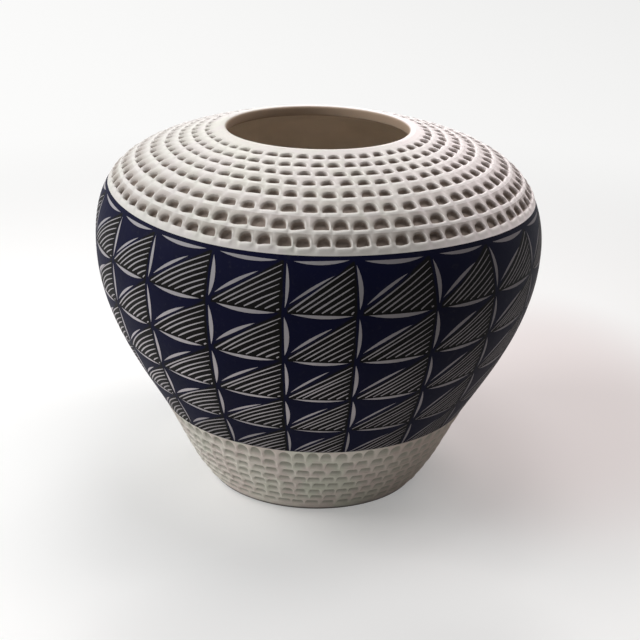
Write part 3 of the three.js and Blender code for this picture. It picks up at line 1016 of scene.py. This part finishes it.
def cut_marks(name, outline, band, starts, ends, bulge, bow, widths, material):
    """Marks cut through the slip, each a thin closed strip lying just above the slip's face.

    starts and ends hold a turn and an arc length for each mark. Along a mark the share t
    goes from 0 to 1, its middle line bows by bow * length * sin(pi t), and its width is
    bulge * sin(pi t)^0.8 to one side, for a leaf, plus a width that goes from one end's to
    the other's, for a line, and is narrower at both tips.
    """
    t = np.linspace(0, 1, MARK_STEPS)[None, :]
    scale = outline.at(0.5 * (starts[:, 1] + ends[:, 1])[:, None])[0]
    x = (starts[:, :1] + (ends - starts)[:, :1] * t) * scale
    y = starts[:, 1:] + (ends - starts)[:, 1:] * t
    step_x, step_y = (ends - starts)[:, :1] * scale, (ends - starts)[:, 1:]
    size = np.hypot(step_x, step_y)
    side_x, side_y = -step_y / size, step_x / size
    hump = np.sin(math.pi * t)
    line = 0.5 * (widths[:, :1] + (widths[:, 1:] - widths[:, :1]) * t)
    line = line * np.minimum(1, 0.55 + 3.0 * np.minimum(t, 1 - t))
    leaf = bulge[:, None] * hump ** 0.8
    middle = bow[:, None] * size * hump
    low, high = middle - line, middle + leaf + line
    high = np.maximum(high, low + 0.03 * MM)
    corners = []
    for offset, sunk in ((low, band.mark_sunk), (high, band.mark_sunk),
                         (high, band.mark_depth), (low, band.mark_depth)):
        turn = (x + side_x * offset) / scale
        arc = np.maximum(y + side_y * offset, outline.waist + 0.2 * MM)
        radius, height = outline.face(arc, -sunk)
        radius = radius + wobble(turn, height, outline.form.wobble)
        corners.append(outline.place(turn, radius, height))
    wall = np.array(ring_faces(MARK_STEPS, 4)[:-4])[:, [0, 3, 2, 1]]
    last = (MARK_STEPS - 1) * 4
    one = np.vstack([wall, [[0, 1, 2, 3]], [[last + 3, last + 2, last + 1, last]]])
    faces = (np.arange(len(starts))[:, None, None] * MARK_STEPS * 4 + one[None]).reshape(-1, 4)
    piece = mesh_object(name, np.stack(corners, 2), faces.tolist(), material)
    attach(piece, BODY)


class VASE_OT_cut_marks(bpy.types.Operator):
    """Cut the leaves and the hatching through the slip"""
    bl_idname = "vase.cut_marks"
    bl_label = "Cut marks"

    def execute(self, context):
        form, _, band, colours, _ = settings()
        outline = Outline(form)
        turns = column_turns()
        material = mark_material(colours)
        rng = np.random.default_rng(7)
        cells = COLUMNS * band.rows
        column, row = np.divmod(np.arange(cells), band.rows)
        none = np.zeros(cells)

        def spot(across, down):
            """Turn and arc length at shares across and down each cell."""
            upright = turns[column] + (turns[column + 1] - turns[column]) * across
            lines = row_arcs(outline, band, upright)
            cell = np.arange(cells)
            arc = lines[row, cell] + (lines[row + 1, cell] - lines[row, cell]) * down
            return np.stack([fanned(upright, arc), arc], -1)

        def hand(value, size):
            """A value for each cell, with the hand's unevenness."""
            return value + rng.normal(0, size, cells)

        middle = spot(0.5 + none, 0.5 + none)
        wide = (turns[column + 1] - turns[column]) * outline.at(middle[:, 1])[0]
        no_line = np.zeros((cells, 2))
        widest = band.leaf, band.top_leaf, band.slant_leaf
        for (name, (*places, vary)), most in zip(LEAVES.items(), widest):
            a, b, c, d = (hand(*place) for place in places)
            bulge = hand(1, vary) * most * wide
            cut_marks(name, outline, band, spot(a, b), spot(c, d), bulge, none, no_line, material)

        # A hatch line goes from the cell's bottom, one after the other further right, to its
        # right side, one after the other further down
        starts, ends, widths = [], [], []
        for m in range(band.hatches):
            starts.append(spot(hand(0.055 + 0.095 * m + 0.0035 * m * m, 0.007), hand(0.955, 0.007)))
            ends.append(spot(hand(0.945 - 0.003 * m, 0.006), hand(0.09 + 0.118 * m, 0.008)))
            widths.append(np.stack([hand(1, 0.1) * band.hatch_start, hand(1, 0.1) * band.hatch_end], -1))
        starts, ends, widths = np.vstack(starts), np.vstack(ends), np.vstack(widths)
        bow = 0.012 - 0.022 * np.sin(starts[:, 0]) + rng.normal(0, 0.005, len(starts))
        cut_marks("hatching", outline, band, starts, ends, 0 * bow, bow, widths, material)
        return {"FINISHED"}


class VASE_OT_shoulder_coils(bpy.types.Operator):
    """Make the shoulder coils with their rows of imprints"""
    bl_idname = "vase.shoulder_coils"
    bl_label = "Shoulder coils"

    def execute(self, context):
        form, imprints, band, colours, _ = settings()
        outline = Outline(form)
        style = pressed("shoulder", depth=imprints.depth, width=imprints.width, start=imprints.start,
                        rim=0.1 * MM, lip=imprints.lip, bead=imprints.bead, groove=imprints.groove)
        arcs = joints(outline)[2]
        edge = outline.belly + band.above_belly
        ends = np.concatenate([[edge], arcs[1:]])
        strays = [[a * (arcs[-1] - end) / (arcs[-1] - edge) for a in EDGE_STRAY] for end in ends]
        corrugated_coils("shoulder", outline, arcs, edge, SHOULDER_ROWS, style, CELL_STEPS,
                         clay("white_clay", colours), strays, 200)
        return {"FINISHED"}


class VASE_OT_rim_coil(bpy.types.Operator):
    """Make the rolled lip"""
    bl_idname = "vase.rim_coil"
    bl_label = "Rim coil"

    def execute(self, context):
        form, imprints, _, colours, _ = settings()
        outline = Outline(form)
        start = joints(outline)[3]
        climb = np.linspace(start, outline.rim - 0.9 * MM, 4)
        dip = imprints.groove * (1 - smooth(climb, start, climb[-1]))
        outer = list(zip(*outline.face(climb, -dip)))
        # A quarter round outside, and a squarer superellipse inside
        bend = np.radians(np.linspace(74, 262, 26))
        square = np.where(bend < math.pi / 2, 1.0, 0.5)
        across, up = (np.sign(part) * np.abs(part) ** square for part in (np.cos(bend), np.sin(bend)))
        lip = list(zip(form.rim_radius - form.lip_inset + form.lip_radius * across,
                       form.rim_height - form.lip_radius + form.lip_radius * up))
        inner = [outline.joint(start, form.wall)]
        inside = [0.0] * len(outer) + list(smooth(np.degrees(bend), 100, 150)) + [1.0]
        ring = turned("lip_ring", outline, outer + lip, inner, clay("white_clay", colours), inside=inside)
        finished(ring, "rim_coil")
        return {"FINISHED"}


class VASE_PT_panel(bpy.types.Panel):
    """Buttons for the vase's pieces"""
    bl_idname = "VASE_PT_panel"
    bl_label = "Vase"
    bl_space_type = "VIEW_3D"
    bl_region_type = "UI"
    bl_category = "Vase"

    def draw(self, context):
        for operator in OPERATORS:
            self.layout.operator(operator.bl_idname)
        for group in settings():
            box = self.layout.box()
            for key in group.__annotations__:
                box.prop(group, key)


GROUPS = {"vase_form": VaseForm, "vase_imprints": VaseImprints, "vase_band": VaseBand,
          "vase_colours": VaseColours, "vase_stage": VaseStage}
OPERATORS = (VASE_OT_stage, VASE_OT_base_slab, VASE_OT_foot_coils, VASE_OT_belly_coils, VASE_OT_slip_band,
             VASE_OT_cut_marks, VASE_OT_shoulder_coils, VASE_OT_rim_coil)
CLASSES = (*GROUPS.values(), *OPERATORS, VASE_PT_panel)


def register():
    """Adds the classes, and the groups to the scene."""
    for cls in CLASSES:
        bpy.utils.register_class(cls)
    for name, cls in GROUPS.items():
        setattr(bpy.types.Scene, name, PointerProperty(type=cls))


def unregister():
    """Takes them away again."""
    for name in GROUPS:
        delattr(bpy.types.Scene, name)
    for cls in reversed(CLASSES):
        bpy.utils.unregister_class(cls)


def main():
    """Makes the stage and every piece."""
    register()
    for operator in OPERATORS:
        getattr(bpy.ops.vase, operator.bl_idname.split(".")[1])()


if __name__ == "__main__":
    main()
